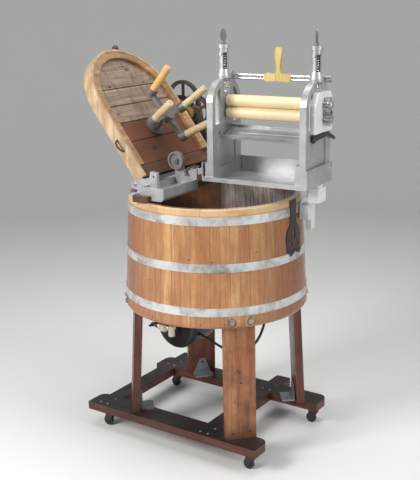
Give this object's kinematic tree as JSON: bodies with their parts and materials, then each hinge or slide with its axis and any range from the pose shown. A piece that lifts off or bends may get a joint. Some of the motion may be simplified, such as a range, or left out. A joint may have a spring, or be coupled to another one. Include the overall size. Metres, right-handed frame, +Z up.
{
  "type": "wringer washing machine",
  "caption": "Electric washing machine with a wooden stave tub on plank legs and casters, a hinged lid with a peg dolly, and a swinging roller wringer.",
  "frame": {"origin": "on the floor directly below the centre of the tub", "axes": "+Z up, +X along the runners towards the wringer's side, +Y towards the belt's side"},
  "size_m": [0.9111, 0.642, 1.435],
  "materials": {
    "tub_wood": "oiled, worn",
    "leg_wood": "dark varnish, worn",
    "base_wood": "dirty dark top",
    "lid_wood": "weathered",
    "lid_rim_wood": "varnished",
    "peg_wood": "scrubbed bare",
    "bridge_wood": "varnished",
    "zinc": "galvanised, dull",
    "grey_cast": "bare, dull",
    "dark_iron": "dark, dull",
    "silver_paint": "aluminium paint",
    "black_paint": "semi-gloss",
    "white_paint": "satin",
    "steel": "bright",
    "roll_rubber": "cream",
    "handle_paint": "yellow varnish",
    "belt_leather": "worn",
    "black_rubber": "matt",
    "brass": "dull"
  },
  "bodies": {
    "lid": {"lid_hoop": "lid_rim_wood", "lid_ring": "lid_rim_wood", "lid_boards": "lid_wood", "lid_rails": "lid_rim_wood", "hinge_straps": "dark_iron", "lid_knob": "dark_iron", "dolly_housing": "grey_cast"},
    "dolly": {"dolly_cross": "grey_cast", "dolly_pegs": "peg_wood"},
    "wringer": {"wringer_tray": "silver_paint", "side_frame_left": "silver_paint", "side_frame_right": "silver_paint", "pressure_barrels": "silver_paint", "pressure_springs": "steel", "gear_guard": "white_paint"},
    "lower_roll": {"lower_roll_shaft": "steel", "lower_roll": "roll_rubber"},
    "bearings": {"top_bearings": "silver_paint"},
    "upper_roll": {"upper_roll_shaft": "steel", "upper_roll": "roll_rubber"},
    "left_screw": {"pressure_screw_left": "silver_paint"},
    "right_screw": {"pressure_screw_right": "silver_paint"},
    "release": {"release_bar": "steel", "release_handle": "handle_paint"},
    "drip_board": {"drip_board": "silver_paint"},
    "shift_lever": {"shift_lever": "dark_iron"},
    "flywheel": {"flywheel": "dark_iron"},
    "ring_gear": {"ring_gear": "dark_iron"},
    "trough_wheel": {"trough_wheel": "grey_cast"},
    "motor_pulley": {"motor_pulley": "steel"},
    "faucet_plug": {"faucet_plug": "dark_iron"},
    "swivel_front_left": {"caster_fork_front_left": "black_paint"},
    "wheel_front_left": {"caster_wheel_front_left": "black_paint"},
    "swivel_front_right": {"caster_fork_front_right": "black_paint"},
    "wheel_front_right": {"caster_wheel_front_right": "black_paint"},
    "swivel_rear_left": {"caster_fork_rear_left": "black_paint"},
    "wheel_rear_left": {"caster_wheel_rear_left": "black_paint"},
    "swivel_rear_right": {"caster_fork_rear_right": "black_paint"},
    "wheel_rear_right": {"caster_wheel_rear_right": "black_paint"},
    "machine": {"belt": "belt_leather", "bridge_beam": "bridge_wood", "cable": "black_rubber", "caster_plates": "zinc", "cross_members": "base_wood", "drive_stand": "silver_paint", "faucet": "brass", "gear_trough": "silver_paint", "hinge_lugs": "silver_paint", "hinge_pin": "steel", "hoops": "zinc", "junction_box": "black_paint", "leg_bolts": "zinc", "leg_brackets": "dark_iron", "legs": "leg_wood", "motor": "black_paint", "runners": "base_wood", "tub_floor": "tub_wood", "tub_staves": "tub_wood", "tub_strap": "dark_iron", "wringer_post": "white_paint"}
  },
  "joints": [
    {"name": "lid_hinge", "type": "hinge", "parent": "machine", "child": "lid", "pos_m": [-0.16808, 0, 0.93439], "axis": [0, 1, 0], "range_deg": [0, 9]},
    {"name": "dolly_spin", "type": "hinge", "parent": "lid", "child": "dolly", "pos_m": [-0.24653, 0, 1.10234], "axis": [0.7934, 0, 0.6088], "range_deg": [-110, 110]},
    {"name": "wringer_swivel", "type": "hinge", "parent": "machine", "child": "wringer", "pos_m": [0.36112, 0.05469, 0.936], "axis": [0, 0, 1], "range_deg": [-170, 170]},
    {"name": "lower_roll_turn", "type": "hinge", "parent": "wringer", "child": "lower_roll", "pos_m": [0.19954, 0.0136, 1.163], "axis": [0.9977, 0.068, 0], "continuous": true},
    {"name": "upper_roll_lift", "type": "slide", "parent": "wringer", "child": "bearings", "axis": [0, 0, 1], "range_m": [0, 0.008], "stiffness_N_per_m": 1500, "deforming": ["pressure_springs"]},
    {"name": "upper_roll_turn", "type": "hinge", "parent": "bearings", "child": "upper_roll", "pos_m": [0.19954, 0.0136, 1.203], "axis": [0.9977, 0.068, 0], "continuous": true},
    {"name": "left_screw_turn", "type": "hinge", "parent": "wringer", "child": "left_screw", "pos_m": [0.03891, 0.00265, 1.39], "axis": [0, 0, 1], "range_deg": [-180, 180]},
    {"name": "right_screw_turn", "type": "hinge", "parent": "wringer", "child": "right_screw", "pos_m": [0.37114, 0.0253, 1.39], "axis": [0, 0, 1], "range_deg": [-180, 180]},
    {"name": "release_tilt", "type": "hinge", "parent": "wringer", "child": "release", "pos_m": [0.19682, 0.05351, 1.279], "axis": [0.9977, 0.068, 0], "range_deg": [-25, 25]},
    {"name": "drip_board_tilt", "type": "hinge", "parent": "wringer", "child": "drip_board", "pos_m": [0.19954, 0.0136, 1.096], "axis": [0.9977, 0.068, 0], "range_deg": [-42, 0]},
    {"name": "shift_lever_turn", "type": "hinge", "parent": "wringer", "child": "shift_lever", "pos_m": [0.39164, -0.02542, 1.1], "axis": [0.9977, 0.068, 0], "range_deg": [-18, 0]},
    {"name": "flywheel_turn", "type": "hinge", "parent": "machine", "child": "flywheel", "pos_m": [-0.341, 0.3, 1.151], "axis": [0, 1, 0], "continuous": true},
    {"name": "ring_gear_turn", "type": "hinge", "parent": "machine", "child": "ring_gear", "pos_m": [-0.26788, 0.277, 1.11244], "axis": [0, 1, 0], "continuous": true},
    {"name": "motor_pulley_turn", "type": "hinge", "parent": "machine", "child": "motor_pulley", "pos_m": [-0.15, 0.3, 0.374], "axis": [0, 1, 0], "continuous": true},
    {"name": "trough_wheel_turn", "type": "hinge", "parent": "machine", "child": "trough_wheel", "pos_m": [-0.098, -0.09, 1], "axis": [0, 1, 0], "continuous": true},
    {"name": "faucet_turn", "type": "hinge", "parent": "machine", "child": "faucet_plug", "pos_m": [-0.03, -0.29, 0.478], "axis": [1, 0, 0], "range_deg": [0, 90]},
    {"name": "swivel_turn_front_left", "type": "hinge", "parent": "machine", "child": "swivel_front_left", "pos_m": [-0.333, -0.209, 0.06], "axis": [0, 0, 1], "continuous": true},
    {"name": "wheel_turn_front_left", "type": "hinge", "parent": "swivel_front_left", "child": "wheel_front_left", "pos_m": [-0.349, -0.209, 0.019], "axis": [0, 1, 0], "continuous": true},
    {"name": "swivel_turn_front_right", "type": "hinge", "parent": "machine", "child": "swivel_front_right", "pos_m": [0.277, -0.209, 0.06], "axis": [0, 0, 1], "continuous": true},
    {"name": "wheel_turn_front_right", "type": "hinge", "parent": "swivel_front_right", "child": "wheel_front_right", "pos_m": [0.261, -0.209, 0.019], "axis": [0, 1, 0], "continuous": true},
    {"name": "swivel_turn_rear_left", "type": "hinge", "parent": "machine", "child": "swivel_rear_left", "pos_m": [-0.326, 0.209, 0.06], "axis": [0, 0, 1], "continuous": true},
    {"name": "wheel_turn_rear_left", "type": "hinge", "parent": "swivel_rear_left", "child": "wheel_rear_left", "pos_m": [-0.342, 0.209, 0.019], "axis": [0, 1, 0], "continuous": true},
    {"name": "swivel_turn_rear_right", "type": "hinge", "parent": "machine", "child": "swivel_rear_right", "pos_m": [0.293, 0.209, 0.06], "axis": [0, 0, 1], "continuous": true},
    {"name": "wheel_turn_rear_right", "type": "hinge", "parent": "swivel_rear_right", "child": "wheel_rear_right", "pos_m": [0.277, 0.209, 0.019], "axis": [0, 1, 0], "continuous": true}
  ],
  "couplings": [
    {"joint": "upper_roll_turn", "follows": "lower_roll_turn", "ratio": -1},
    {"joint": "ring_gear_turn", "follows": "flywheel_turn", "ratio": -0.29167},
    {"joint": "motor_pulley_turn", "follows": "flywheel_turn", "ratio": 2.9583}
  ]
}
